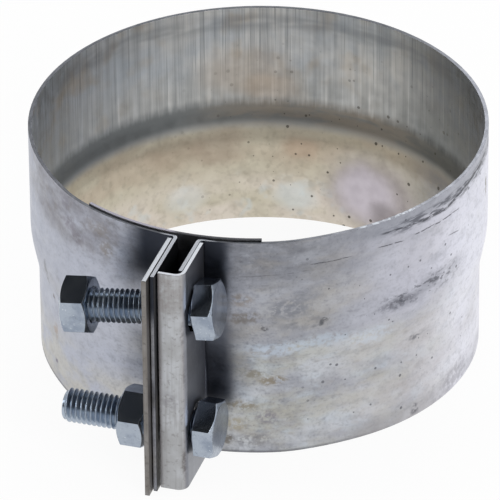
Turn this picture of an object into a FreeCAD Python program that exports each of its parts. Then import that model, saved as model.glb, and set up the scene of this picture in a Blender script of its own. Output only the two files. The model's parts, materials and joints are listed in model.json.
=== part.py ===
import FreeCAD
import Part
import math
import os

# A stepped pre-formed clamp for an exhaust lap joint, with its two bolts loose.
# The clamp's axis is Z and its smaller end stands on z = 0.
# The two ears point along -Y, the bolt heads are on the +X side and the nuts on the -X side.
# Lengths are in millimetres, angles in degrees, and angles round the clamp are counted from +X.

# Driving dimensions of the band
SMALL_BORE_RADIUS = 63.5
SHOULDER_RISE = 2.2
BAND_SHEET = 1.1
SMALL_END_LENGTH = 24.5
SHOULDER_LENGTH = 16.0
LARGE_END_LENGTH = 31.5

# The ears, each measured outward from the band's outer face at the large end beside them
EAR_GAP = 5.6
EAR_BEND_RADIUS = 0.9
LEFT_EAR_REACH = 22.3
HOLE_DIAMETER = 12.5
BOLT_REACH = 9.6
BOLT_SPACING = 38.0

# The tongue that bridges the gap from inside, and the relief that the band makes for it
TONGUE_SHEET = 1.0
TONGUE_LEFT_ANGLE = 29.0
TONGUE_RIGHT_ANGLE = 18.0
TONGUE_ABOVE_BAND = 0.5
TONGUE_CLEARANCE = 0.05
RELIEF_PAST_TONGUE = 2.0
RELIEF_BLEND_ANGLE = 12.0

# The flat bar on the left ear and the angle bracket on the right ear
BAR_THICKNESS = 1.4
BAR_PAST_EAR = 2.9
BAR_CLEARANCE = 0.25
BRACKET_SHEET = 1.1
BRACKET_BEND_RADIUS = 1.9
BRACKET_REACH = 20.0
BRACKET_CLEARANCE = 0.1
WEB_CLEARANCE = 0.3

# Standard 10 mm fasteners
THREAD_DIAMETER = 9.9
THREAD_CLEARANCE = 0.05
BOLT_LENGTH = 40.0
HEAD_HEIGHT = 6.4
WASHER_FACE_HEIGHT = 0.4
NUT_HEIGHT = 8.0
WRENCH_SIZE = 16.0
FACE_TO_WRENCH = 0.94
HEX_CHAMFER_ANGLE = 30.0

# How the loose fasteners lie: the upper bolt leans in its holes, the lower one is square
UPPER_DROOP = 6.0
UPPER_SWING = 3.0
UPPER_HEAD_GAP = 0.9
LOWER_HEAD_GAP = 0.8
SEAT_CLEARANCE = 0.3
UPPER_NUT_INSET = 1.2
LOWER_NUT_GAP = 3.1
UPPER_HEAD_TURN = 17.6
LOWER_HEAD_TURN = 24.0
UPPER_NUT_TURN = 33.0
LOWER_NUT_TURN = 19.0

# Worked out from the values above
BAND_HEIGHT = SMALL_END_LENGTH + SHOULDER_LENGTH + LARGE_END_LENGTH
RELIEF = TONGUE_SHEET + 2.0 * TONGUE_CLEARANCE
EAR_ROOT = SMALL_BORE_RADIUS + SHOULDER_RISE + RELIEF + BAND_SHEET
EAR_INNER = EAR_GAP / 2.0
EAR_OUTER = EAR_INNER + BAND_SHEET
LEFT_EAR_END = EAR_ROOT + LEFT_EAR_REACH
PLATE_ROOT = EAR_ROOT + EAR_BEND_RADIUS
BRACKET_FACE = EAR_OUTER + BRACKET_CLEARANCE
BRACKET_OUTER = BRACKET_FACE + BRACKET_SHEET
BRACKET_END = EAR_ROOT + BRACKET_REACH
RIGHT_EAR_END = BRACKET_END - BRACKET_SHEET - BRACKET_BEND_RADIUS
BAR_FACE = EAR_OUTER + BAR_CLEARANCE
BAR_OUTER = BAR_FACE + BAR_THICKNESS
BAR_END = LEFT_EAR_END + BAR_PAST_EAR
BOLT_OUT = EAR_ROOT + BOLT_REACH
LOWER_BOLT_Z = (BAND_HEIGHT - BOLT_SPACING) / 2.0
UPPER_BOLT_Z = LOWER_BOLT_Z + BOLT_SPACING
EAR_ANGLE = 270.0

UP = FreeCAD.Vector(0, 0, 1)
ACROSS = FreeCAD.Vector(1, 0, 0)


def ray(angle):
    """The unit vector at an angle round the clamp."""
    return FreeCAD.Vector(math.cos(math.radians(angle)), math.sin(math.radians(angle)), 0)


def stepped_line(radius, bottom, top):
    """A wall's face in the XZ plane: straight, an S-shaped shoulder with upright ends, straight."""
    far_radius = radius + SHOULDER_RISE
    third = SHOULDER_LENGTH / 3.0
    shoulder_end = SMALL_END_LENGTH + SHOULDER_LENGTH
    poles = [
        FreeCAD.Vector(radius, 0, SMALL_END_LENGTH),
        FreeCAD.Vector(radius, 0, SMALL_END_LENGTH + third),
        FreeCAD.Vector(far_radius, 0, shoulder_end - third),
        FreeCAD.Vector(far_radius, 0, shoulder_end),
    ]
    shoulder = Part.BezierCurve()
    shoulder.setPoles(poles)
    return [
        Part.LineSegment(FreeCAD.Vector(radius, 0, bottom), poles[0]).toShape(),
        shoulder.toShape(),
        Part.LineSegment(poles[-1], FreeCAD.Vector(far_radius, 0, top)).toShape(),
    ]


def wall_section(inner_radius, outer_radius, bottom, top):
    """The area between two stepped lines; each radius is that of the small end."""
    def cap(z, shift):
        near = FreeCAD.Vector(inner_radius + shift, 0, z)
        far = FreeCAD.Vector(outer_radius + shift, 0, z)
        return Part.LineSegment(near, far).toShape()

    edges = stepped_line(inner_radius, bottom, top)
    edges += stepped_line(outer_radius, bottom, top)
    edges += [cap(bottom, 0.0), cap(top, SHOULDER_RISE)]
    return Part.Face(Part.Wire(Part.__sortEdges__(edges)))


def swept(section, centre, sweep):
    """Turn a section about the upright axis through centre: its solid and its last place."""
    solid = section.revolve(centre, UP, sweep)
    last = section.copy()
    last.rotate(centre, UP, sweep)
    return solid, last


def band_ring():
    """The closed ring: the nominal circle, which blends to a wider one on each side of the ears."""
    relief_radius = SMALL_BORE_RADIUS + RELIEF
    right_angle = EAR_ANGLE + TONGUE_RIGHT_ANGLE + RELIEF_PAST_TONGUE
    left_angle = EAR_ANGLE - TONGUE_LEFT_ANGLE - RELIEF_PAST_TONGUE
    relief_sweep = right_angle - left_angle
    blend = RELIEF_BLEND_ANGLE
    offset = RELIEF / (2.0 * (1.0 - math.cos(math.radians(blend))))
    round_end = left_angle + 360.0 - 2.0 * blend

    section = wall_section(relief_radius, relief_radius + BAND_SHEET, 0.0, BAND_HEIGHT)
    section.rotate(FreeCAD.Vector(), UP, left_angle)
    steps = [
        (FreeCAD.Vector(), relief_sweep),
        (ray(right_angle) * offset, blend),
        (ray(right_angle + 2.0 * blend) * -offset, blend),
        (FreeCAD.Vector(), round_end - right_angle - 2.0 * blend),
        (ray(round_end) * -offset, blend),
        (ray(left_angle) * offset, blend),
    ]
    pieces = []
    for centre, sweep in steps:
        solid, section = swept(section, centre, sweep)
        pieces.append(solid)
    return pieces[0].multiFuse(pieces[1:]).removeSplitter()


def relief_core():
    """The space inside the wider circle, which trims the roots of the ears."""
    section = wall_section(0.0, SMALL_BORE_RADIUS + RELIEF, 0.0, BAND_HEIGHT)
    return section.revolve(FreeCAD.Vector(), UP, 360.0)


def plate(x_start, x_end, root, end):
    """A flat plate as high as the band, between two X faces, from its root to its outer end."""
    corner = FreeCAD.Vector(min(x_start, x_end), -end, 0)
    return Part.makeBox(abs(x_end - x_start), end - root, BAND_HEIGHT, corner)


def root_edges(shape, x_face, radius):
    """The upright chain of edges where a flat ear face meets a stepped wall face."""
    found = []
    for edge in shape.Edges:
        middle = edge.valueAt((edge.FirstParameter + edge.LastParameter) / 2.0)
        ends = [vertex.Point for vertex in edge.Vertexes]
        on_face = all(abs(point.x - x_face) < 0.001 for point in ends + [middle])
        rises = abs(ends[0].z - ends[-1].z) > 1.0
        reach = math.hypot(middle.x, middle.y)
        at_root = radius - 0.01 < reach < radius + SHOULDER_RISE + 0.01
        if on_face and rises and at_root and middle.y < 0:
            found.append(edge)
    return found


def bolt_holes():
    """The clearance holes that pass through both ears, the bar and the bracket."""
    length = 2.0 * (BAR_OUTER + BRACKET_OUTER)
    holes = []
    for height in (LOWER_BOLT_Z, UPPER_BOLT_Z):
        start = FreeCAD.Vector(-length / 2.0, -BOLT_OUT, height)
        holes.append(Part.makeCylinder(HOLE_DIAMETER / 2.0, length, start, ACROSS))
    return Part.makeCompound(holes)


def clamp_band():
    """One folded sheet: the split stepped ring and its two ears, with rounded bends."""
    inner = SMALL_BORE_RADIUS + RELIEF
    outer = inner + BAND_SHEET
    ear_start = SMALL_BORE_RADIUS - BAND_SHEET
    gap = plate(-EAR_INNER, EAR_INNER, 0.0, BRACKET_END)
    shape = band_ring().cut(gap)
    core = relief_core()
    for side, end in ((-1.0, LEFT_EAR_END), (1.0, RIGHT_EAR_END)):
        ear = plate(side * EAR_INNER, side * EAR_OUTER, ear_start, end)
        shape = shape.fuse(ear.cut(core))
    shape = shape.removeSplitter()
    for side in (-1.0, 1.0):
        shape = shape.makeFillet(EAR_BEND_RADIUS + BAND_SHEET, root_edges(shape, side * EAR_INNER, inner))
        shape = shape.makeFillet(EAR_BEND_RADIUS, root_edges(shape, side * EAR_OUTER, outer))
    return shape.cut(bolt_holes())


def sealing_tongue():
    """The inner strip that follows the band's step and carries the seal across the gap."""
    inner = SMALL_BORE_RADIUS + TONGUE_CLEARANCE
    top = BAND_HEIGHT + TONGUE_ABOVE_BAND
    section = wall_section(inner, inner + TONGUE_SHEET, TONGUE_ABOVE_BAND, top)
    section.rotate(FreeCAD.Vector(), UP, EAR_ANGLE - TONGUE_LEFT_ANGLE)
    return section.revolve(FreeCAD.Vector(), UP, TONGUE_LEFT_ANGLE + TONGUE_RIGHT_ANGLE)


def nut_side_bar():
    """The flat bar that spreads the nuts' load over the left ear."""
    bar = plate(-BAR_FACE, -BAR_OUTER, PLATE_ROOT, BAR_END)
    return bar.cut(bolt_holes())


def head_side_bracket():
    """The angle on the right ear, whose web runs across to the left ear as a fulcrum."""
    outer_bend = BRACKET_BEND_RADIUS + BRACKET_SHEET
    bend_x = BRACKET_OUTER - outer_bend
    bend_y = -(BRACKET_END - outer_bend)
    web_end = -(EAR_INNER - WEB_CLEARANCE)
    corner = FreeCAD.Vector(bend_x, bend_y, 0)
    slant = FreeCAD.Vector(math.sqrt(0.5), -math.sqrt(0.5), 0)
    points = [
        FreeCAD.Vector(web_end, -(BRACKET_END - BRACKET_SHEET), 0),
        FreeCAD.Vector(bend_x, -(BRACKET_END - BRACKET_SHEET), 0),
        FreeCAD.Vector(BRACKET_FACE, bend_y, 0),
        FreeCAD.Vector(BRACKET_FACE, -PLATE_ROOT, 0),
        FreeCAD.Vector(BRACKET_OUTER, -PLATE_ROOT, 0),
        FreeCAD.Vector(BRACKET_OUTER, bend_y, 0),
        FreeCAD.Vector(bend_x, -BRACKET_END, 0),
        FreeCAD.Vector(web_end, -BRACKET_END, 0),
    ]
    edges = [
        Part.LineSegment(points[0], points[1]).toShape(),
        Part.Arc(points[1], corner + slant * BRACKET_BEND_RADIUS, points[2]).toShape(),
        Part.LineSegment(points[2], points[3]).toShape(),
        Part.LineSegment(points[3], points[4]).toShape(),
        Part.LineSegment(points[4], points[5]).toShape(),
        Part.Arc(points[5], corner + slant * outer_bend, points[6]).toShape(),
        Part.LineSegment(points[6], points[7]).toShape(),
        Part.LineSegment(points[7], points[0]).toShape(),
    ]
    profile = Part.Face(Part.Wire(edges))
    return profile.extrude(UP * BAND_HEIGHT).cut(bolt_holes())


def hexagon(height, both_ends):
    """A hexagon prism on z = 0, its corners turned off at the bottom or at both ends."""
    corner = WRENCH_SIZE / math.sqrt(3.0)
    points = [ray(60.0 * index) * corner for index in range(7)]
    prism = Part.Face(Part.makePolygon(points)).extrude(UP * height)
    slope = math.tan(math.radians(HEX_CHAMFER_ANGLE))
    face_radius = FACE_TO_WRENCH * WRENCH_SIZE / 2.0
    wide_radius = face_radius + height / slope
    opening = Part.makeCone(face_radius, wide_radius, height)
    shape = prism.common(opening)
    if both_ends:
        shape = shape.common(Part.makeCone(wide_radius, face_radius, height))
    return shape


def bolt_blank(turn):
    """A hexagon bolt along +Z with its bearing face on z = 0, its threaded end left plain."""
    head = hexagon(HEAD_HEIGHT - WASHER_FACE_HEIGHT, False)
    head.translate(FreeCAD.Vector(0, 0, -HEAD_HEIGHT))
    head.rotate(FreeCAD.Vector(), UP, turn)
    washer_face = Part.makeCylinder(
        FACE_TO_WRENCH * WRENCH_SIZE / 2.0, WASHER_FACE_HEIGHT, FreeCAD.Vector(0, 0, -WASHER_FACE_HEIGHT))
    shank = Part.makeCylinder(THREAD_DIAMETER / 2.0, BOLT_LENGTH)
    return head.multiFuse([washer_face, shank]).removeSplitter()


def nut_blank(turn):
    """A hexagon nut on z = 0, its thread left as a plain bore."""
    nut = hexagon(NUT_HEIGHT, True)
    nut.rotate(FreeCAD.Vector(), UP, turn)
    return nut.cut(Part.makeCylinder(THREAD_DIAMETER / 2.0 + THREAD_CLEARANCE, NUT_HEIGHT))


def seat_drop(droop, swing):
    """How far a bolt sinks in its holes until it rests on their lower edges."""
    lean = math.acos(math.cos(math.radians(droop)) * math.cos(math.radians(swing)))
    leaning_radius = THREAD_DIAMETER / 2.0 / math.cos(lean)
    sideways = max(BAR_OUTER, BRACKET_OUTER) * math.tan(lean)
    return HOLE_DIAMETER / 2.0 - leaning_radius - sideways - SEAT_CLEARANCE


def on_bolt_axis(shape, height, droop, swing, distance):
    """Lay a fastener on a bolt's axis, distance being from the middle of the gap to its z = 0."""
    lying = FreeCAD.Rotation(FreeCAD.Vector(0, -1, 0), UP, -ACROSS)
    lean = FreeCAD.Rotation(UP, swing).multiply(FreeCAD.Rotation(FreeCAD.Vector(0, 1, 0), -droop))
    turned = lean.multiply(lying)
    middle = FreeCAD.Vector(0, -BOLT_OUT, height - seat_drop(droop, swing))
    base = middle + turned.multVec(UP) * distance
    placed = shape.copy()
    placed.Placement = FreeCAD.Placement(base, turned).multiply(shape.Placement)
    return placed


def fasteners():
    """Both bolts, heads to the right, with the upper nut near its tip and the lower one near the bar."""
    upper_seat = -(BRACKET_OUTER + UPPER_HEAD_GAP)
    lower_seat = -(BRACKET_OUTER + LOWER_HEAD_GAP)
    upper_nut_start = upper_seat + BOLT_LENGTH - NUT_HEIGHT - UPPER_NUT_INSET
    lower_nut_start = BAR_OUTER + LOWER_NUT_GAP
    return {
        "upper_bolt": on_bolt_axis(
            bolt_blank(UPPER_HEAD_TURN), UPPER_BOLT_Z, UPPER_DROOP, UPPER_SWING, upper_seat),
        "upper_nut": on_bolt_axis(
            nut_blank(UPPER_NUT_TURN), UPPER_BOLT_Z, UPPER_DROOP, UPPER_SWING, upper_nut_start),
        "lower_bolt": on_bolt_axis(
            bolt_blank(LOWER_HEAD_TURN), LOWER_BOLT_Z, 0.0, 0.0, lower_seat),
        "lower_nut": on_bolt_axis(
            nut_blank(LOWER_NUT_TURN), LOWER_BOLT_Z, 0.0, 0.0, lower_nut_start),
    }


def main():
    nodes = {
        "clamp_band": clamp_band(),
        "sealing_tongue": sealing_tongue(),
        "nut_side_bar": nut_side_bar(),
        "head_side_bracket": head_side_bracket(),
    }
    nodes.update(fasteners())
    os.makedirs("parts", exist_ok=True)
    for name, shape in nodes.items():
        solid = shape.Solids[0] if len(shape.Solids) == 1 else shape
        print(name, len(shape.Solids), "solid", round(solid.Volume, 2), "mm3", solid.isValid())
        solid.exportStep("parts/" + name + ".step")


main()
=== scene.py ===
import bpy
import bmesh
import json
from math import cos, pi, radians, sin
from mathutils import Matrix, Quaternion, Vector


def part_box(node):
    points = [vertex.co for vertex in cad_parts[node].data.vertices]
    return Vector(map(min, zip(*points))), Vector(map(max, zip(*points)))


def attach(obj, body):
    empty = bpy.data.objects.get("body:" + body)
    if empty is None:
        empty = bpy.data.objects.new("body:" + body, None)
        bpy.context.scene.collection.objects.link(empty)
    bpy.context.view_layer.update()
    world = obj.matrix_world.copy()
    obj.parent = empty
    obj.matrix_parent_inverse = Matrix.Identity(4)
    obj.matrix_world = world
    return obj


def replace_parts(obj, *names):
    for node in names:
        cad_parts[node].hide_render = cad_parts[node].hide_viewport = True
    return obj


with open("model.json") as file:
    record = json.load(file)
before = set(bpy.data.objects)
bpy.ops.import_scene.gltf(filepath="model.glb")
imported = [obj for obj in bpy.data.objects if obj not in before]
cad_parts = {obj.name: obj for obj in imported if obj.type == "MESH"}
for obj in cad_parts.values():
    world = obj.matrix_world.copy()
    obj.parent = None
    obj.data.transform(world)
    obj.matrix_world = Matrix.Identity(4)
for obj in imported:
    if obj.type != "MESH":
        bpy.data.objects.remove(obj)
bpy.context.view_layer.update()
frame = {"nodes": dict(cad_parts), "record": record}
bodyOf = {
    node: body for body, nodes in frame["record"]["behaviour"]["bodies"].items() for node in nodes}
mm = 0.001
print("frame loaded:", sorted(frame["nodes"]))

photoView = {
    # a long lens from the front right, a third of the way up
    "azimuth": 17.4,
    "elevation": 31.67,
    "distance": 2.0,
    "target": (0.0, 0.0, 35 * mm),
    "lens": 491.9,
    "sensor": 36.0,
    "roll": -0.47,
    "imageSize": 500,
    "targetRight": 9.2,  # pixels from the picture's middle
    "targetUp": 21.1,
}


def makeCamera():
    data = bpy.data.cameras.new("photoCamera")
    data.lens = photoView["lens"]
    data.sensor_width = photoView["sensor"]
    data.shift_x = -photoView["targetRight"] / photoView["imageSize"]
    data.shift_y = -photoView["targetUp"] / photoView["imageSize"]
    camera = bpy.data.objects.new("photoCamera", data)
    bpy.context.scene.collection.objects.link(camera)
    turn, rise = radians(photoView["azimuth"]), radians(photoView["elevation"])
    back = Vector((sin(turn) * cos(rise), -cos(turn) * cos(rise), sin(rise)))
    camera.location = Vector(photoView["target"]) + back * photoView["distance"]
    camera.rotation_mode = "QUATERNION"
    roll = Quaternion((0, 0, 1), radians(photoView["roll"]))
    camera.rotation_quaternion = (-back).to_track_quat("-Z", "Y") @ roll
    bpy.context.scene.camera = camera


makeCamera()
print("camera placed")


def colour(hexCode):
    channels = [int(hexCode[i:i + 2], 16) / 255 for i in (1, 3, 5)]
    linear = [c / 12.92 if c <= 0.04045 else ((c + 0.055) / 1.055) ** 2.4 for c in channels]
    return (*linear, 1.0)


def addNode(tree, kind, inputs=(), out=0, **settings):
    # a node with its settings, values and links, known by one of its outputs
    node = tree.nodes.new("ShaderNode" + kind)
    for name, value in settings.items():
        setattr(node, name, value)
    for socket, value in dict(inputs).items():
        if isinstance(value, bpy.types.NodeSocket):
            tree.links.new(value, node.inputs[socket])
        else:
            node.inputs[socket].default_value = colour(value) if isinstance(value, str) else value
    return node.outputs[out] if len(node.outputs) else node


def newMaterial(name):
    material = bpy.data.materials.new(name)
    material.use_nodes = True
    material.node_tree.nodes.clear()
    return material, material.node_tree


def together(tree, *shares):
    # all the shares multiplied
    result = shares[0]
    for share in shares[1:]:
        result = addNode(tree, "Math", {0: result, 1: share}, operation="MULTIPLY")
    return result


def within(tree, value, *edges):
    # 1 inside all the edges: each is a pair, 0 at its first value and 1 at its second
    return together(tree, *[
        addNode(tree, "MapRange", {0: value, 1: start, 2: end}, interpolation_type="SMOOTHSTEP")
        for start, end in edges])


def paint(tree, base, tint, *shares):
    # the tint over the base, as strong as all the shares together
    return addNode(tree, "Mix", {0: together(tree, *shares), 6: base, 7: tint}, out=2, data_type="RGBA")


def clouds(tree, place, size, low, high, finer=1.0):
    # patches about size mm across: 0 below low, 1 above high; finer is how far their edges break up
    detail = finer * min(4.0, 2.0 + size / 8)
    noise = addNode(tree, "TexNoise", {
        "Vector": place, "Scale": 1 / size, "Detail": detail, "Roughness": 0.6})
    return within(tree, noise, (low, high))


def inMillimetres(tree):
    # the place on a piece in mm, and the way its surface faces
    spot = addNode(tree, "TexCoord", out="Object")
    place = addNode(tree, "VectorMath", {0: spot, 1: (1 / mm, 1 / mm, 1 / mm)}, operation="MULTIPLY")
    return place, spot.node.outputs["Normal"]


def grained(tree, place, grain, over=None):
    # low bumps over others: their size and depth in mm, detail and strength
    size, depth, detail, strength = grain
    height = addNode(tree, "TexNoise", {"Vector": place, "Scale": 1 / size, "Detail": detail})
    values = {"Strength": strength, "Distance": depth * mm, "Height": height}
    if over is not None:
        values["Normal"] = over
    return addNode(tree, "Bump", values)


def finishMetal(tree, finish, roughness, bumps):
    addNode(tree, "OutputMaterial", {0: addNode(tree, "BsdfPrincipled", {
        "Base Color": finish, "Metallic": 1.0, "Roughness": roughness, "Normal": bumps})})


studio = {
    "ambient": 0.60,
    "floorRadius": 30.0,
    "floorWhite": "#F4F4F4",
    "floorGlow": 0.93,  # share of plain white that camera and gloss see
    "lamps": [
        # name, place, size, watts
        ("softboxRight", (1.3, -1.1, 1.0), 0.9, 13.0),
        ("softboxLeft", (-1.3, -0.6, 1.1), 0.9, 7.0),
        ("softboxBack", (-0.3, 1.5, 1.2), 1.0, 9.0),
    ],
    "cards": [
        # name, middle, size, tilt about X in degrees
        ("cardOverhead", (-0.2, -0.25, 1.25), (2.2, 1.5), 0.0),
        ("cardInFront", (-0.3, -1.35, 0.95), (2.8, 1.6), 62.0),
    ],
    "cardBlack": "#060607",
}


def seenDirectly(tree):
    path = addNode(tree, "LightPath", out="Is Camera Ray")
    rays = path.node.outputs
    mirrored = addNode(tree, "Math", {
        0: rays["Is Glossy Ray"], 1: rays["Is Transmission Ray"]}, operation="MAXIMUM")
    return addNode(tree, "Math", {0: path, 1: mirrored}, operation="MAXIMUM")


def makeWorld():
    world = bpy.data.worlds.new("studioWorld")
    world.use_nodes = True
    tree = world.node_tree
    tree.nodes.clear()
    strength = addNode(tree, "MapRange", {0: seenDirectly(tree), 3: studio["ambient"], 4: 1.0})
    background = addNode(tree, "Background", {0: (1, 1, 1, 1), 1: strength})
    addNode(tree, "OutputWorld", {0: background})
    bpy.context.scene.world = world


def linkPiece(bm, name, material):
    mesh = bpy.data.meshes.new(name)
    bm.to_mesh(mesh)
    bm.free()
    mesh.materials.append(material)
    piece = bpy.data.objects.new(name, mesh)
    bpy.context.scene.collection.objects.link(piece)
    return piece


def makeFloor():
    # white paper sweep
    material, tree = newMaterial("whitePaperSweep")
    paper = addNode(tree, "BsdfDiffuse", {0: studio["floorWhite"]})
    white = addNode(tree, "Emission", {0: (1, 1, 1, 1), 1: 1.0})
    share = together(tree, seenDirectly(tree), studio["floorGlow"])
    addNode(tree, "OutputMaterial", {0: addNode(tree, "MixShader", {0: share, 1: paper, 2: white})})
    bm = bmesh.new()
    bmesh.ops.create_circle(bm, cap_ends=True, segments=64, radius=studio["floorRadius"])
    linkPiece(bm, "studioFloor", material)


def makeCards():
    # black cards above and in front, so that metal facing them shows a dark reflection
    material, tree = newMaterial("blackCard")
    addNode(tree, "OutputMaterial", {0: addNode(tree, "BsdfDiffuse", {0: studio["cardBlack"]})})
    for name, middle, size, tilt in studio["cards"]:
        bm = bmesh.new()
        bmesh.ops.create_grid(bm, x_segments=1, y_segments=1, size=0.5)
        bmesh.ops.scale(bm, vec=(*size, 1), verts=bm.verts)
        bmesh.ops.rotate(bm, matrix=Matrix.Rotation(radians(tilt), 3, "X"), verts=bm.verts)
        bmesh.ops.translate(bm, vec=middle, verts=bm.verts)
        card = linkPiece(bm, name, material)
        card.visible_camera = False
        card.visible_diffuse = False
        card.visible_shadow = False


def makeLamps():
    for name, place, size, watts in studio["lamps"]:
        data = bpy.data.lights.new(name, "AREA")
        data.shape = "SQUARE"
        data.size = size
        data.energy = watts
        lamp = bpy.data.objects.new(name, data)
        lamp.location = place
        aim = Vector(photoView["target"]) - Vector(place)
        lamp.rotation_euler = aim.to_track_quat("-Z", "Y").to_euler()
        bpy.context.scene.collection.objects.link(lamp)


makeWorld()
makeFloor()
makeCards()
makeLamps()
bpy.context.scene.view_settings.view_transform = "Standard"
print("studio ready")

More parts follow.
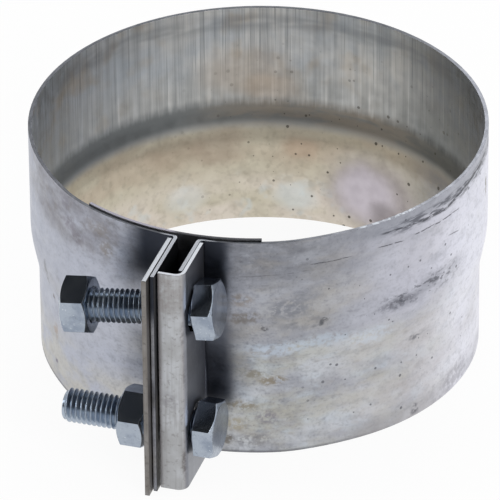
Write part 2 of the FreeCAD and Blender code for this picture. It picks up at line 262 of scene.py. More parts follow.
band = {
    "radius": 66.0,
    "softEdge": 0.16,
    "outerGrey": "#9C9EA6",
    "innerUpper": "#ACB3BE",
    "innerUpperBack": "#D8D7D4",
    "innerLower": "#CDC6B3",
    "insideApart": 40.0,  # mm between the outer and the inner pattern
    # painted shade on the step inside
    "step": {
        "foot": 32.1,
        "top": 40.7,
        "teeth": 3.4,  # how far the streaks' ends swing at the top
        "blend": (-1.8, 2.6),  # mm outside and inside its edges
        "share": 0.86,
        "brown": "#7C756B",
        "slate": "#666B6D",
        "light": "#8A8072",
        "right": "#363935",
        "slateClouds": (4, 0.45, 0.60),
        "slateShare": 0.7,
        "rightShare": 0.9,
        "lightClouds": (2.1, 0.35, 0.55),
        "lightShare": 0.6,
        "lightFoot": (2.4, 3.6),  # mm above the foot
        "lightTop": (0.9, 2.7),  # mm below the top
    },
    # painted shade in the gap between the ears
    "gapPaintedShade": "#2B2C30",
    "gapShare": 0.9,
    # painted highlight on the ear folds' top faces, lighter than the rim
    "foldTopHighlight": "#82858B",
    # the rim's top faces: painted shade, painted light on the right side, and a broken painted highlight at
    # the front right
    "rimTopShade": "#424449",
    "rimLitSide": "#73757C",
    "rimHighlight": "#90949A",
    "rimHighlightBreaks": (2, 0.46, 0.56),
    "underRimLineDark": "#3F4047",
    "underRimLineBreaks": (0.6, 0.38, 0.50),
    "blotPatches": (1.8, 0.36, 0.56),
    "outerBottomDark": "#4A4B50",
    "outerBottomShare": 0.55,
    "roughness": (0.36, 0.50),
    "glossPatches": (4.5, 0.3, 0.7),
    "wave": (22, 0.5, 1.0, 0.35),  # size and depth in mm, detail, strength
    "grain": (0.9, 0.07, 3.0, 0.35),
    "wander": {
        # mm between the bends of a blot's edge, and their swing
        "ragged": (2.2, 2.8),
        "smooth": (8.0, 4.0),
        "bent": (6.0, 1.0),
    },
    "zones": {
        # where something shows: an axis, where its share is 0, and where it is 1
        "all": [("climb", -2, -1)],
        "upper": [("climb", 37, 43)],
        "frontUpper": [("climb", 54, 67), ("x", 2, 12), ("x", 66, 46)],
        "lowerFront": [("climb", 41, 35), ("x", 4, 14)],
        # where painted light and a painted highlight go on the right side
        "rightUpperLit": [("climb", 30, 42), ("x", 32, 66)],
        "rightLowerLit": [("climb", 42, 30), ("x", 27, 64)],
        "farRightHighlight": [("y", -36, -8), ("x", 0, 10)],
        "rightEdge": [("climb", 8, 2), ("x", 30, 48)],
        "rimStrip": [("climb", 65.5, 69.0), ("x", 36, 50), ("y", 34, 14)],
        "underRimDarkBand": [
            ("climb", 65.2, 66.8), ("climb", 70.4, 69.2), ("y", -47, -34), ("y", 34, 14), ("x", 0, 10)],
        "shoulderShade": [
            ("climb", 39.5, 43), ("climb", 49, 45), ("y", -49, -38), ("y", -8, -26), ("x", 0, 10)],
        "left": [("x", -8, -26)],
        "leftBottom": [("x", -6, -14), ("climb", 24, 8)],
        "leftTop": [("climb", 52, 61), ("x", -10, -22), ("x", -63, -50), ("y", -4, -20)],
        "besideEars": [("y", -50, -60)],
        "pitted": [("x", 20, 40)],
        "outerBottomEdge": [("climb", 1.1, 0.4), ("x", 60, 26)],
        "back": [("y", 0, 62)],
        "upperTop": [("climb", 44, 54)],
        "upperFoot": [("climb", 38.5, 40.5), ("climb", 58, 43)],
        "upperFootRight": [("climb", 38.5, 40.5), ("climb", 58, 45), ("x", 12, 40)],
        "crease": [("climb", 62.5, 66.5), ("climb", 71, 68), ("y", 0, 20)],
        "upperRight": [("climb", 37, 41), ("x", 10, 48)],
        "stepSides": [("fromMiddle", 16, 44)],
        "stepMiddle": [("fromMiddle", 44, 12)],
        "stepRight": [("x", 14, 46)],
        "bottom": [("climb", 34, 30)],
        "bottomRight": [("climb", 34, 30), ("x", 20, 44)],
        "bottomTop": [("climb", 12, 22), ("climb", 34, 30)],
        "bottomEdge": [("climb", 20, 8)],
        "pittedInside": [("x", -56, 0), ("climb", 72, 26)],
        "seamGap": [("fromMiddle", 3.0, 2.9), ("y", -60, -66)],
        "topEdge": [("upward", 0.4, 0.8)],
        # where the rim's painted light and its painted highlight go
        "rimLitSide": [("x", 20, 60)],
        "rimHighlightSpot": [("x", 43, 47), ("x", 59, 56), ("y", -20, -28)],
        "foldEdge": [("fromMiddle", 9.0, 7.5), ("y", -66.6, -67.6)],
    },
    "grainyShares": [
        # from x, to x, share there, share here
        (-40, 4, 0.40, 1.00),
        (14, 50, 1.00, 0.45),
    ],
    "outerClouds": [
        # colour, mm tall, times as wide, from, to, share, zone
        ("#A6A29B", 18, 2, 0.42, 0.62, 0.70, "all"),
        ("#6C6E75", 30, 2, 0.10, 0.45, 0.72, "frontUpper"),
        ("#8A8C93", 15, 2, 0.45, 0.62, 0.50, "upper"),
        ("#7C7E85", 6, 2, 0.50, 0.68, 0.45, "upper"),
        ("#B3B6BF", 8, 2, 0.42, 0.66, 0.45, "upper"),
        ("#A19D98", 6, 2, 0.46, 0.66, 0.42, "frontUpper"),
        ("#CDD1D6", 12, 2, 0.36, 0.62, 0.62, "lowerFront"),
        ("#BFC9D4", 6.5, 2, 0.50, 0.68, 0.60, "lowerFront"),
        ("#9B958C", 4, 2, 0.54, 0.74, 0.45, "lowerFront"),
        ("#B4B3A6", 9, 2, 0.40, 0.66, 0.40, "lowerFront"),
        # painted light on the band's right side
        ("#D2D2DE", 22, 2, 0.10, 0.60, 0.88, "rightUpperLit"),
        ("#8C8F97", 7, 2, 0.52, 0.74, 0.40, "rightUpperLit"),
        ("#CFCCCF", 16, 2, 0.20, 0.62, 0.80, "rightLowerLit"),
        ("#A09C9C", 8, 2, 0.46, 0.70, 0.45, "rightLowerLit"),
        # painted highlight at the far right
        ("#EDEEF8", 27, 2, 0.10, 0.55, 0.80, "farRightHighlight"),
        ("#81858E", 8, 4, 0.15, 0.45, 0.56, "rimStrip"),
        ("#B7BBC8", 28, 1, 0.15, 0.50, 0.85, "left"),
        ("#C4BFAE", 9, 2, 0.35, 0.60, 0.55, "leftBottom"),
        ("#7C7A80", 9, 2, 0.30, 0.66, 0.72, "leftTop"),
        ("#76716F", 3, 1, 0.46, 0.70, 0.42, "leftTop"),
        ("#7D7F86", 3.2, 1, 0.46, 0.70, 0.38, "grainy"),
        ("#C9CCD3", 2.7, 1, 0.50, 0.76, 0.20, "grainy"),
        ("#63656C", 1.7, 2, 0.52, 0.74, 0.36, "grainy"),
        ("#D3D6DC", 1.3, 1, 0.54, 0.80, 0.13, "grainy"),
        ("#56585F", 0.8, 1, 0.50, 0.78, 0.34, "grainy"),
        # darker band under the right rim
        ("#4A4C55", 1.1, 4, 0.42, 0.58, 0.70, "underRimDarkBand"),
        # painted shade along the shoulder on the right
        ("#777982", 5.5, 2, 0.32, 0.60, 0.58, "shoulderShade"),
        ("#45464E", 1.4, 2, 0.52, 0.64, 0.62, "shoulderShade"),
        ("#85848C", 9, 2, 0.30, 0.66, 0.40, "rightEdge"),
    ],
    "innerClouds": [
        ("#AEB7C1", 16, 1, 0.40, 0.68, 0.60, "upperTop"),
        ("#A2AAB2", 60, 0.3, 0.42, 0.68, 0.34, "upper"),
        ("#B3A38C", 11, 1, 0.48, 0.72, 0.48, "upper"),
        ("#7F868F", 40, 0.3, 0.05, 0.40, 0.85, "upperRight"),
        ("#B5A08D", 14, 2, 0.42, 0.62, 0.40, "bottomTop"),
        ("#E0D6CC", 11, 2, 0.34, 0.62, 0.75, "bottomEdge"),
        ("#CBD2D2", 8, 1, 0.54, 0.68, 0.55, "bottomEdge"),
        ("#A8A08F", 5.5, 1, 0.50, 0.70, 0.35, "bottom"),
        ("#868688", 30, 2, 0.05, 0.40, 0.92, "bottomRight"),
        ("#A09887", 1.8, 1, 0.50, 0.72, 0.25, "bottom"),
        ("#868A8E", 120, 0.01, 0.40, 0.68, 0.42, "upper"),
        ("#DFE1E2", 80, 0.01, 0.52, 0.74, 0.30, "upper"),
        ("#5F6469", 42, 0.01, 0.54, 0.70, 0.44, "upper"),
        ("#888A89", 150, 0.01, 0.22, 0.60, 0.55, "upperFoot"),
        ("#7F8280", 60, 0.3, 0.10, 0.50, 0.45, "upperFootRight"),
        ("#7A7D82", 4, 4, 0.30, 0.60, 0.40, "crease"),
    ],
    "stains": [
        # colour, side, edge, degrees round from +X, height, mm across, mm tall, share
        ("#827866", "out", "ragged", 290.5, 24.5, 4.2, 1.6, 0.80),
        ("#7F7868", "out", "ragged", 286.0, 27.0, 3.6, 1.5, 0.65),
        ("#8D8575", "out", "ragged", 283.0, 16.0, 5.0, 1.7, 0.75),
        ("#85828A", "out", "ragged", 289.0, 12.0, 3.4, 2.2, 0.80),
        ("#A19B8C", "out", "ragged", 281.0, 9.5, 3.2, 2.6, 0.80),
        ("#85796B", "out", "ragged", 283.0, 53.0, 3.6, 2.0, 0.50),
        ("#6F675C", "out", "ragged", 282.5, 47.0, 3.4, 1.9, 0.60),
        ("#746D65", "out", "ragged", 285.7, 47.5, 2.0, 1.6, 0.55),
        ("#53545A", "out", "ragged", 288.5, 43.5, 1.2, 0.8, 0.85),
        ("#777A83", "out", "ragged", 294.5, 50.0, 6.5, 3.4, 0.65),
        ("#55565B", "out", "ragged", 303.0, 44.0, 1.3, 1.2, 0.80),
        ("#BDC8D6", "out", "ragged", 291.0, 36.0, 9.0, 2.6, 0.62),
        ("#BAC5D1", "out", "ragged", 303.0, 37.5, 9.0, 2.4, 0.62),
        ("#C5CDD8", "out", "ragged", 316.0, 35.0, 8.0, 3.4, 0.55),
        ("#5E5850", "out", "ragged", 278.5, 4.5, 2.6, 2.2, 0.75),
        ("#77767A", "out", "ragged", 285.5, 4.5, 6.0, 2.2, 0.60),
        ("#7E7A84", "out", "ragged", 232.5, 69.0, 3.2, 2.6, 0.45),
        ("#817D86", "out", "ragged", 234.0, 62.5, 3.2, 2.4, 0.65),
        ("#7F7C84", "out", "ragged", 237.5, 59.5, 2.6, 2.2, 0.70),
        ("#87827F", "out", "ragged", 245.0, 66.5, 4.5, 2.2, 0.60),
        ("#847F7B", "out", "ragged", 247.5, 61.0, 2.6, 2.6, 0.65),
        ("#5C4E46", "out", "ragged", 221.0, 29.0, 0.9, 1.0, 0.85),
        ("#6B6478", "out", "ragged", 221.0, 6.5, 1.0, 1.0, 0.80),
        ("#A18C7B", "out", "ragged", 221.0, 17.0, 1.8, 2.4, 0.55),
        ("#73747A", "out", "ragged", 219.0, 36.0, 1.4, 5.0, 0.60),
        # these two: painted shade on the shoulder at the right
        ("#50525A", "out", "ragged", 336.5, 45.2, 2.6, 1.5, 0.72),
        ("#5C5D65", "out", "ragged", 324.0, 43.0, 7.0, 1.6, 0.62),
        ("#5F6067", "out", "ragged", 331.0, 27.5, 2.2, 1.0, 0.70),
        ("#65666C", "out", "ragged", 331.0, 2.5, 1.6, 1.8, 0.75),
        ("#8B8992", "out", "ragged", 349.0, 4.0, 9.0, 4.0, 0.40),
        ("#6B6650", "out", "ragged", 7.0, 57.0, 1.6, 3.2, 0.75),
        ("#A39B9F", "in", "smooth", 73.5, 14.0, 17.5, 14.0, 0.75),
        ("#CBC4CC", "in", "smooth", 76.5, 13.0, 11.0, 9.4, 0.92),
        ("#8A8384", "in", "smooth", 70.5, 7.5, 6.5, 4.6, 0.65),
        ("#A69684", "in", "smooth", 131.0, 26.0, 11.0, 5.5, 0.50),
        ("#A29080", "in", "smooth", 119.0, 25.0, 9.0, 6.0, 0.50),
        ("#D3DADA", "in", "smooth", 97.5, 8.0, 7.0, 5.0, 0.60),
        ("#B5A189", "in", "smooth", 110.5, 50.5, 14.0, 8.5, 0.36),
        ("#B39C84", "in", "smooth", 104.0, 44.5, 9.0, 4.5, 0.30),
        ("#DEE0DE", "in", "smooth", 128.0, 9.0, 7.0, 4.5, 0.50),
        ("#B79E88", "in", "smooth", 96.0, 25.0, 6.0, 4.0, 0.50),
    ],
    "pits": [
        # colour, side, mm apart, radius, random value above which a cell has one, share, zone
        ("#4D4F56", "out", 5.5, 0.55, 0.50, 0.70, "pitted"),
        ("#4C4840", "in", 4.6, 0.66, 0.44, 0.85, "pittedInside"),
    ],
    "underRimLines": [
        # from degrees round and height to degrees round and height, half width in mm, share
        ((318, 68.0), (332, 67.2), 0.45, 0.75),
        ((330, 67.0), (342, 66.0), 0.70, 0.85),
        ((340, 66.0), (350, 68.2), 0.65, 0.85),
        ((348, 68.2), (366, 69.0), 0.80, 0.85),
        ((317, 64.0), (326, 63.2), 0.26, 0.75),
        ((328, 63.6), (347, 62.6), 0.30, 0.80),
        ((299, 63.6), (311, 63.5), 0.24, 0.70),
        ((282, 61.0), (300, 61.8), 0.20, 0.35),
        ((341, 56.5), (347, 55.0), 0.25, 0.60),
    ],
    "paintedShadeBesideEars": [
        # painted shade and dark reflection on the band beside the ears: colour, x edges, height edges, share
        ("#6A6D75", ((2.6, 3.6), (20.0, 10.5)), ((16.0, 22.0), (48.0, 40.0)), 0.55),
        ("#50545F", ((2.6, 3.6), (13.9, 9.6)), ((15.5, 20.0), (90.0, 80.0)), 0.86),
        ("#353943", ((-20.5, -12.5), (-2.0, -3.0)), ((53.5, 62.0), (90.0, 80.0)), 0.96),
        ("#353943", ((2.6, 3.6), (12.5, 9.0)), ((56.0, 62.0), (90.0, 80.0)), 0.70),
        ("#353943", ((-18.5, -11.5), (-2.0, -3.0)), ((25.5, 30.5), (39.0, 34.0)), 0.55),
    ],
}


def girthAt(angle):
    # mm round the sheet from the back, for degrees round from +X
    return radians((270 - angle) % 360 - 180) * band["radius"]


def stain(tree, sheet, angle, height, across, tall, share):
    # a soft blot round one spot of the sheet
    shrunk = addNode(tree, "VectorMath", {
        0: sheet, 1: (1 / across, 1 / tall, 0), 2: (-girthAt(angle) / across, -height / tall, 0)},
        operation="MULTIPLY_ADD")
    gap = addNode(tree, "VectorMath", {0: shrunk}, out="Value", operation="LENGTH")
    return together(tree, within(tree, gap, (1.35, 0.50)), share)


def thinLine(tree, sheet, start, end, halfWidth, share):
    # a thin line from one spot of the sheet to another
    first, last = [Vector((girthAt(angle), height, 0)) for angle, height in (start, end)]
    way = (last - first).normalized()
    beside = Vector((-way.y, way.x, 0))
    gone = addNode(tree, "VectorMath", {0: sheet, 1: first}, operation="SUBTRACT")
    along = addNode(tree, "VectorMath", {0: gone, 1: way}, out="Value", operation="DOT_PRODUCT")
    off = addNode(tree, "VectorMath", {0: gone, 1: beside}, out="Value", operation="DOT_PRODUCT")
    off = addNode(tree, "Math", {0: off}, operation="ABSOLUTE")
    length = (last - first).length
    return together(tree, within(tree, along, (0, 2), (length, length - 2)), within(
        tree, off, (halfWidth, halfWidth * 0.3)), share)


def specks(tree, sheet, spacing, radius, chosen):
    # round pits, in the cells of a loose grid whose random value is above chosen
    cell = addNode(tree, "TexVoronoi", {"Vector": sheet, "Scale": 1 / spacing}, voronoi_dimensions="2D")
    reach = addNode(tree, "MapRange", {
        0: cell.node.outputs["Color"], 1: chosen, 2: 0.9, 3: 0.0, 4: radius / spacing})
    inside = addNode(tree, "Math", {0: reach, 1: cell}, operation="SUBTRACT")
    return within(tree, inside, (0.0, 0.25 * radius / spacing))


def aluminisedSheet():
    # hot-dipped aluminised steel: a dull silver coat with cloudy patches, die streaks inside and water stains
    material, tree = newMaterial("aluminisedSteelSheet")
    place, normal = inMillimetres(tree)
    x = addNode(tree, "SeparateXYZ", {0: place})
    y, climb = x.node.outputs[1], x.node.outputs[2]
    axes = {
        "x": x,
        "y": y,
        "climb": climb,
        "fromMiddle": addNode(tree, "Math", {0: x}, operation="ABSOLUTE"),
        "upward": addNode(tree, "SeparateXYZ", {0: normal}, out=2),
    }

    # mm round the sheet and up it: 0 is at the back, and the seam lies between the ears
    flat = addNode(tree, "VectorMath", {0: place, 1: (1, 1, 0)}, operation="MULTIPLY")
    outward = addNode(tree, "VectorMath", {0: flat, 1: normal}, out="Value", operation="DOT_PRODUCT")
    inward = addNode(tree, "Math", {0: outward, 1: 0.0}, operation="LESS_THAN")
    turned = addNode(tree, "Math", {0: x, 1: y}, operation="ARCTAN2")
    sheet = addNode(tree, "CombineXYZ", {
        0: together(tree, turned, band["radius"]), 1: climb, 2: together(tree, inward, band["insideApart"])})

    zones = {
        name: together(tree, *[within(tree, axes[axis], (start, end)) for axis, start, end in edges])
        for name, edges in band["zones"].items()}
    zones["grainy"] = together(tree, *[
        addNode(tree, "MapRange", {0: x, 1: start, 2: end, 3: low, 4: high})
        for start, end, low, high in band["grainyShares"]])
    stretched = {
        times: addNode(tree, "VectorMath", {0: sheet, 1: (1 / times, 1, 1)}, operation="MULTIPLY")
        for times in sorted({layer[2] for layer in band["outerClouds"] + band["innerClouds"]})}
    drifted = {}
    for edge, (size, swing) in band["wander"].items():
        drift = addNode(tree, "TexNoise", {"Vector": sheet, "Scale": 1 / size, "Detail": 3.0}, out="Color")
        moved = addNode(tree, "VectorMath", {
            0: drift, 1: (swing, swing, 0), 2: (-swing / 2, -swing / 2, 0)}, operation="MULTIPLY_ADD")
        drifted[edge] = addNode(tree, "VectorMath", {0: moved, 1: sheet}, operation="ADD")

    coat = {"out": band["outerGrey"], "in": band["innerUpper"]}
    coat["in"] = paint(tree, coat["in"], band["innerUpperBack"], zones["back"])
    coat["in"] = paint(tree, coat["in"], band["innerLower"], zones["bottom"])
    for side, layers, finer in (("out", band["outerClouds"], 1.0), ("in", band["innerClouds"], 0.7)):
        for tint, tall, times, low, high, share, zone in layers:
            patches = clouds(tree, stretched[times], tall, low, high, finer)
            coat[side] = paint(tree, coat[side], tint, patches, share, zones[zone])
    patchy = {"ragged": clouds(tree, sheet, *band["blotPatches"]), "smooth": 1.0}
    for tint, side, edge, *spotOf in band["stains"]:
        blot = stain(tree, drifted[edge], *spotOf)
        coat[side] = paint(tree, coat[side], tint, blot, patchy[edge])

    # dark lines under the right rim, broken in places
    lineBreaks = clouds(tree, stretched[4], *band["underRimLineBreaks"])
    for darkLine in band["underRimLines"]:
        line = thinLine(tree, drifted["bent"], *darkLine)
        coat["out"] = paint(tree, coat["out"], band["underRimLineDark"], line, lineBreaks)

    # painted shade on the step inside: a dark band, lighter in its middle and darkest on the right, and the
    # streaks from above end in it unevenly
    step = band["step"]
    foot, top = step["foot"], step["top"]
    outside, inside = step["blend"]
    teeth = addNode(tree, "TexNoise", {
        "Vector": stretched[0.01], "Scale": 1 / 80, "Detail": 4.0, "Roughness": 0.7})
    edge = addNode(tree, "Math", {
        0: teeth, 1: step["teeth"], 2: top - step["teeth"] / 2}, operation="MULTIPLY_ADD")
    under = addNode(tree, "Math", {0: edge, 1: climb}, operation="SUBTRACT")
    slate = paint(tree, step["brown"], step["slate"], zones["stepSides"])
    patches = clouds(tree, stretched[4], *step["slateClouds"])
    slate = paint(tree, slate, step["slate"], patches, step["slateShare"])
    slate = paint(tree, slate, step["right"], zones["stepRight"], step["rightShare"])
    stepLighterMiddle = within(
        tree, climb, [foot + up for up in step["lightFoot"]], [top - down for down in step["lightTop"]])
    patches = clouds(tree, stretched[4], *step["lightClouds"])
    slate = paint(tree, slate, step["light"], stepLighterMiddle, zones["stepMiddle"], patches, step["lightShare"])
    coat["in"] = paint(
        tree, coat["in"], slate, within(tree, under, (outside, inside)),
        within(tree, climb, (foot + outside, foot + inside)), step["share"])

    for tint, side, spacing, radius, chosen, share, zone in band["pits"]:
        pits = specks(tree, sheet, spacing, radius, chosen)
        coat[side] = paint(tree, coat[side], tint, pits, zones[zone], share)
    # painted shade and dark reflection on the band beside the ears
    for tint, acrossEdges, heightEdges, share in band["paintedShadeBesideEars"]:
        dull = together(tree, within(tree, x, *acrossEdges), within(tree, climb, *heightEdges))
        coat["out"] = paint(tree, coat["out"], tint, dull, zones["besideEars"], share)
    # darker along the outer bottom edge
    coat["out"] = paint(tree, coat["out"], band["outerBottomDark"], zones["outerBottomEdge"], band["outerBottomShare"])

    finish = paint(tree, coat["out"], coat["in"], inward)
    # painted shade in the gap between the ears
    finish = paint(tree, finish, band["gapPaintedShade"], zones["seamGap"], band["gapShare"])
    # the rim's top faces: painted shade, painted light on the right side, and a broken painted highlight at
    # the front right
    rim = paint(tree, band["rimTopShade"], band["rimLitSide"], zones["rimLitSide"])
    rim = paint(tree, rim, band["rimHighlight"], zones["rimHighlightSpot"], clouds(tree, sheet, *band["rimHighlightBreaks"]))
    finish = paint(tree, finish, rim, zones["topEdge"])
    # painted highlight on the ear folds' top faces, lighter than the rim
    finish = paint(tree, finish, band["foldTopHighlight"], zones["topEdge"], zones["foldEdge"])

    smooth, rough = band["roughness"]
    gloss = addNode(tree, "MapRange", {0: clouds(tree, sheet, *band["glossPatches"]), 3: smooth, 4: rough})
    waved = grained(tree, place, band["wave"])
    finishMetal(tree, finish, gloss, grained(tree, place, band["grain"], waved))
    return material


plateCoat = {
    "layers": [
        # shade, pattern, mm across, from, to, share
        ("pale", "patches", 7, 0.34, 0.66, 0.70),
        ("side", "streaks", 4, 0.30, 0.60, 0.80),
        ("dark", "streaks", 1.1, 0.45, 0.70, 0.32),
        ("dark", "patches", 1.2, 0.54, 0.72, 0.50),
    ],
    "drawn": 0.05,  # how much of the height a streak's pattern sees
    "sideEnd": 0.98,
    "markEdge": (1.4, 0.4),
    "markPatches": (1.6, 0.3, 0.6),
    "shadedFlankFacing": (0.7, 0.95),
    "flankShadeShare": 0.8,
    "topFacing": (0.6, 0.9),
    "grain": (0.6, 0.05, 2.0, 0.3),
}
plates = {
    "bracket": {
        "softEdge": 0.18,
        "grey": "#A9AAAC",
        "pale": "#C2C5CA",
        "dark": "#7C7977",
        "side": "#918B8D",
        "middle": ("head_side_bracket", 0.62),
        # a grey of the top faces' own, standing in for the highlight along the top edges
        "edgeTop": "#85888D",
        # painted shade on the faces that point to +X
        "flank": "#80838B",
        "roughness": 0.36,
        "marks": [
            # colour, x, height, mm across, mm tall, share
            ("#5F5A58", 5.0, 38.0, 0.7, 4.0, 0.75),
            ("#554E4B", 4.6, 9.0, 0.8, 5.0, 0.75),
            ("#8A8380", -2.0, 66.0, 8.0, 9.0, 0.45),
            ("#5C5557", 5.2, 44.5, 0.9, 2.2, 0.60),
            ("#6D6869", 4.4, 52.0, 0.8, 4.0, 0.55),
            ("#77747A", 0.5, 30.0, 2.6, 3.2, 0.40),
            ("#7B787A", -3.5, 18.0, 2.2, 4.5, 0.40),
        ],
    },
    "bar": {
        "softEdge": 0.18,
        "grey": "#7D7975",
        "pale": "#8F8D8C",
        "dark": "#5B5754",
        "side": "#7D7975",
        "middle": ("nut_side_bar", 0.62),
        "edgeTop": "#85888D",
        "flank": "#7D7975",
        "roughness": 0.40,
        "marks": [],
    },
}


def rolledPlate(name, plate):
    # zinc-coated flat bar: grey with drawing streaks up its length
    material, tree = newMaterial(name)
    place, normal = inMillimetres(tree)
    patterns = {
        "patches": place,
        "streaks": addNode(tree, "VectorMath", {
            0: place, 1: (1, 1, plateCoat["drawn"])}, operation="MULTIPLY"),
    }
    node, middle = plate["middle"]
    low, high = [corner[0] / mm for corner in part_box(node)]
    across = addNode(tree, "SeparateXYZ", {0: place})
    across = addNode(tree, "MapRange", {0: across, 1: low, 2: high, 3: -1.0, 4: 1.0})
    aside = addNode(tree, "Math", {0: across}, operation="ABSOLUTE")
    places = {"side": within(tree, aside, (middle, plateCoat["sideEnd"]))}
    finish = plate["grey"]
    for shade, pattern, size, start, end, share in plateCoat["layers"]:
        patches = clouds(tree, patterns[pattern], size, start, end)
        finish = paint(tree, finish, plate[shade], patches, places.get(shade, 1.0), share)
    for tint, x, height, wide, tall, share in plate["marks"]:
        shrunk = addNode(tree, "VectorMath", {
            0: place, 1: (1 / wide, 0, 1 / tall), 2: (-x / wide, 0, -height / tall)},
            operation="MULTIPLY_ADD")
        gap = addNode(tree, "VectorMath", {0: shrunk}, out="Value", operation="LENGTH")
        patches = clouds(tree, place, *plateCoat["markPatches"])
        finish = paint(tree, finish, tint, within(tree, gap, plateCoat["markEdge"]), patches, share)
    facing = addNode(tree, "SeparateXYZ", {0: normal})
    upward = facing.node.outputs[2]
    # painted shade on the faces that point to +X
    flank = within(tree, facing, plateCoat["shadedFlankFacing"])
    finish = paint(tree, finish, plate["flank"], flank, plateCoat["flankShadeShare"])
    # the top faces painted a grey of their own, standing in for the highlight along the top edges
    finish = paint(tree, finish, plate["edgeTop"], within(tree, upward, plateCoat["topFacing"]))
    finishMetal(tree, finish, plate["roughness"], grained(tree, patterns["streaks"], plateCoat["grain"]))
    return material


tongue = {
    "softEdge": 0.12,
    "grey": "#77787C",
    "pale": "#9A9B9F",
    "edgeTop": "#26272B",
    "edgeLeft": "#6A6871",
    "patches": (10, 0.35, 0.65),
    "edgeFacing": (0.4, 0.8),
    "leftFrom": (-3, -6),
    "roughness": 0.38,
    "grain": (0.8, 0.05, 2.0, 0.3),
}


def tongueSheet():
    # thinner uncoated sheet, darker and a little oily, with a black top edge
    material, tree = newMaterial("plainSteelSheet")
    place, normal = inMillimetres(tree)
    finish = paint(tree, tongue["grey"], tongue["pale"], clouds(tree, place, *tongue["patches"]))
    edge = within(tree, addNode(tree, "SeparateXYZ", {0: normal}, out=2), tongue["edgeFacing"])
    left = within(tree, addNode(tree, "SeparateXYZ", {0: place}), tongue["leftFrom"])
    finish = paint(tree, finish, tongue["edgeTop"], edge)
    finish = paint(tree, finish, tongue["edgeLeft"], edge, left)
    finishMetal(tree, finish, tongue["roughness"], grained(tree, place, tongue["grain"]))
    return material


cleaning = {
    "weld": 0.001,  # mm
    "flatWithin": 0.4,  # degrees
    "sharpAbove": 35,
    "softSteps": 2,
}


def softenEdges(piece, width):
    bevel = piece.modifiers.new("softEdges", "BEVEL")
    bevel.width = width * mm
    bevel.segments = cleaning["softSteps"]
    bevel.limit_method = "ANGLE"
    bevel.angle_limit = radians(cleaning["sharpAbove"])
    weighted = piece.modifiers.new("flatFaces", "WEIGHTED_NORMAL")
    weighted.keep_sharp = False


def mergedCopy(node):
    bm = bmesh.new()
    bm.from_mesh(frame["nodes"][node].data)
    bmesh.ops.remove_doubles(bm, verts=bm.verts, dist=cleaning["weld"] * mm)
    bmesh.ops.dissolve_limit(
        bm, angle_limit=radians(cleaning["flatWithin"]), verts=bm.verts, edges=bm.edges)
    return bm


def dress(bm, name, material, body, softEdge=0.0):
    for face in bm.faces:
        face.smooth = True
    piece = linkPiece(bm, name, material)
    if softEdge:
        softenEdges(piece, softEdge)
    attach(piece, body)
    return piece


sheetFinish = aluminisedSheet()
tongueFinish = tongueSheet()
bracketFinish = rolledPlate("zincCoatedPlate", plates["bracket"])
barFinish = rolledPlate("dullZincCoatedPlate", plates["bar"])
print("sheet and plate finishes made")

pressed = [
    # the CAD shape, with softened edges and smooth curves
    ("clamp_band", sheetFinish, "coated_sheet", band["softEdge"]),
    ("sealing_tongue", tongueFinish, "dark_sheet", tongue["softEdge"]),
    ("nut_side_bar", barFinish, "coated_plate", plates["bar"]["softEdge"]),
    ("head_side_bracket", bracketFinish, "coated_plate", plates["bracket"]["softEdge"]),
]
for node, material, slotName, softEdge in pressed:
    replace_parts(dress(mergedCopy(node), node + "_finished", material, bodyOf[node], softEdge), node)
print("sheet and plate pieces finished")

zinc = {
    "softEdge": 0.22,
    "head": {
        "blue": "#8E98A7",
        "pale": "#A6AFBB",
        "dull": "#6C7580",
        "paintedGlint": "#E8ECF0",
        "roughness": 0.24,
    },
    # painted light: the same zinc, made lighter for the thread than for the heads
    "thread": {
        "blue": "#96A3B4",
        "pale": "#AAB5C2",
        "dull": "#6B7683",
        "paintedGlint": "#E8ECF0",
        "roughness": 0.28,
    },
    "layers": [
        # shade, mm across, from, to, share
        ("pale", 6, 0.38, 0.62, 1.00),
        ("dull", 0.9, 0.55, 0.75, 0.35),
        # painted highlight: small white glints
        ("paintedGlint", 0.7, 0.64, 0.74, 0.50),
    ],
    "grain": (0.9, 0.06, 2.0, 0.3),
    "nutCountersink": 0.55,
    "boreSlack": 0.3,  # mm outside the thread where the bore's edges are looked for
    "boreEdgeAbove": 60,  # degrees
}


def zincPlate(name, tints):
    # clear bright zinc plate: a cool blue cast, with a fine mottle where it is handled, and painted white
    # glints
    material, tree = newMaterial(name)
    place = inMillimetres(tree)[0]
    finish = tints["blue"]
    for shade, size, start, end, share in zinc["layers"]:
        finish = paint(tree, finish, tints[shade], clouds(tree, place, size, start, end), share)
    finishMetal(tree, finish, tints["roughness"], grained(tree, place, zinc["grain"]))
    return material


thread = {
    "pitch": 1.5,
    "crestRadius": 4.93,
    "depth": 0.92,
    "crestWidth": 0.25,
    "rootWidth": 0.30,
    "start": -0.02,  # just inside the head, where the head's own mesh ends
    "length": 40.0,
    "tipChamfer": 1.0,
    "stepsPerTurn": 40,
    "spareTurns": 2,  # spun before the start and cut off again
    "weld": 0.002,
}

# how each bolt lies in the CAD: the middle of its axis, the way it points, and its head's face along that
bolts = {
    "upper_bolt": {
        "pivot": (0, -77.5, 54.6866), "way": (-0.99315894, -0.05204925, -0.10452846), "seat": -6.0},
    "lower_bolt": {"pivot": (0, -77.5, 16.0), "way": (-1, 0, 0), "seat": -5.9},
}


def capEnds(bm):
    # close the cut ends, without slivers
    bmesh.ops.dissolve_degenerate(bm, dist=0.01 * mm, edges=bm.edges)
    bmesh.ops.holes_fill(bm, edges=[edge for edge in bm.edges if edge.is_boundary], sides=0)


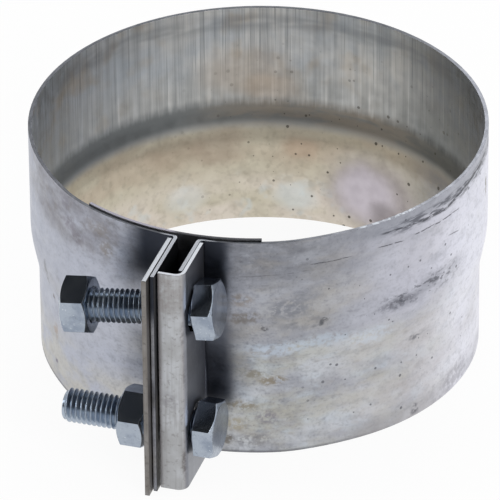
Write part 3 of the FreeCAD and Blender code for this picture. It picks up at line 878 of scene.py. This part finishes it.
def threadMesh():
    # one pitch of the tooth's outline, spun and raised turn by turn
    bm = bmesh.new()
    flank = (thread["pitch"] - thread["crestWidth"] - thread["rootWidth"]) / 2
    root = thread["crestRadius"] - thread["depth"]
    outline = [
        (root, 0.0),
        (root, thread["rootWidth"]),
        (thread["crestRadius"], thread["rootWidth"] + flank),
        (thread["crestRadius"], thread["rootWidth"] + flank + thread["crestWidth"]),
        (root, thread["pitch"]),
    ]
    below = thread["spareTurns"] * thread["pitch"]
    points = [bm.verts.new((radius * mm, 0, (height - below) * mm)) for radius, height in outline]
    lines = [bm.edges.new(pair) for pair in zip(points, points[1:])]
    turns = int(thread["length"] / thread["pitch"]) + thread["spareTurns"] + 1
    climb = thread["pitch"] / thread["stepsPerTurn"] * mm
    bmesh.ops.spin(
        bm, geom=points + lines, cent=(0, 0, 0), axis=(0, 0, 1), dvec=(0, 0, climb),
        angle=2 * pi * turns, steps=turns * thread["stepsPerTurn"])
    bmesh.ops.remove_doubles(bm, verts=bm.verts, dist=thread["weld"] * mm)
    for height, keepAbove in ((thread["start"], True), (thread["length"], False)):
        bmesh.ops.bisect_plane(
            bm, geom=bm.verts[:] + bm.edges[:] + bm.faces[:], plane_co=(0, 0, height * mm),
            plane_no=(0, 0, 1), clear_inner=keepAbove, clear_outer=not keepAbove)
    capEnds(bm)
    chamferStart = (thread["length"] - thread["tipChamfer"]) * mm
    for vert in bm.verts:
        allowed = thread["crestRadius"] * mm - max(0.0, vert.co.z - chamferStart)
        if vert.co.xy.length > allowed:
            vert.co.xy *= allowed / vert.co.xy.length
    bmesh.ops.recalc_face_normals(bm, faces=bm.faces)
    return bm


def boltFrame(bolt):
    # from the thread's own upright axis to the bolt's place
    way = Vector(bolt["way"]).normalized()
    start = Vector(bolt["pivot"]) * mm + way * bolt["seat"] * mm
    return Matrix.Translation(start) @ way.to_track_quat("Z", "Y").to_matrix().to_4x4()


def headMesh(node, bolt):
    # the CAD bolt without its plain shank
    bm = mergedCopy(node)
    lie = boltFrame(bolt)
    bmesh.ops.bisect_plane(
        bm, geom=bm.verts[:] + bm.edges[:] + bm.faces[:],
        plane_co=lie @ Vector((0, 0, thread["start"] * mm)), plane_no=lie.to_3x3() @ Vector((0, 0, 1)),
        clear_outer=True)
    capEnds(bm)
    return bm


def nutMesh(node, bolt):
    # the CAD nut, with the thread's countersink at both ends of its bore
    bm = mergedCopy(node)
    lie = boltFrame(bolt).inverted()
    bore = (thread["crestRadius"] + zinc["boreSlack"]) * mm
    sharp = radians(zinc["boreEdgeAbove"])
    near = [vert for vert in bm.verts if (lie @ vert.co).xy.length < bore]
    ends = [
        edge for edge in bm.edges
        if all(vert in near for vert in edge.verts) and edge.calc_face_angle(0) > sharp]
    bmesh.ops.bevel(
        bm, geom=ends, offset=zinc["nutCountersink"] * mm, offset_type="OFFSET", affect="EDGES",
        segments=1, profile=0.5, material=-1)
    return bm


zincFinish = zincPlate("brightZincPlate", zinc["head"])
# painted light: the thread's copy of the zinc is lighter than the heads'
threadFinish = zincPlate("brightZincThread", zinc["thread"])
for node, bolt in bolts.items():
    body = bodyOf[node]
    head = dress(headMesh(node, bolt), node + "_head", zincFinish, body, zinc["softEdge"])
    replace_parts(head, node)
    bm = threadMesh()
    bmesh.ops.transform(bm, matrix=boltFrame(bolt), verts=bm.verts)
    shank = dress(bm, node + "_thread", threadFinish, body)
    shank.modifiers.new("flatFaces", "WEIGHTED_NORMAL")
    nut = node.replace("bolt", "nut")
    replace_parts(dress(
        nutMesh(nut, bolt), nut + "_finished", zincFinish, bodyOf[nut], zinc["softEdge"]), nut)
print("bolts threaded and nuts finished")
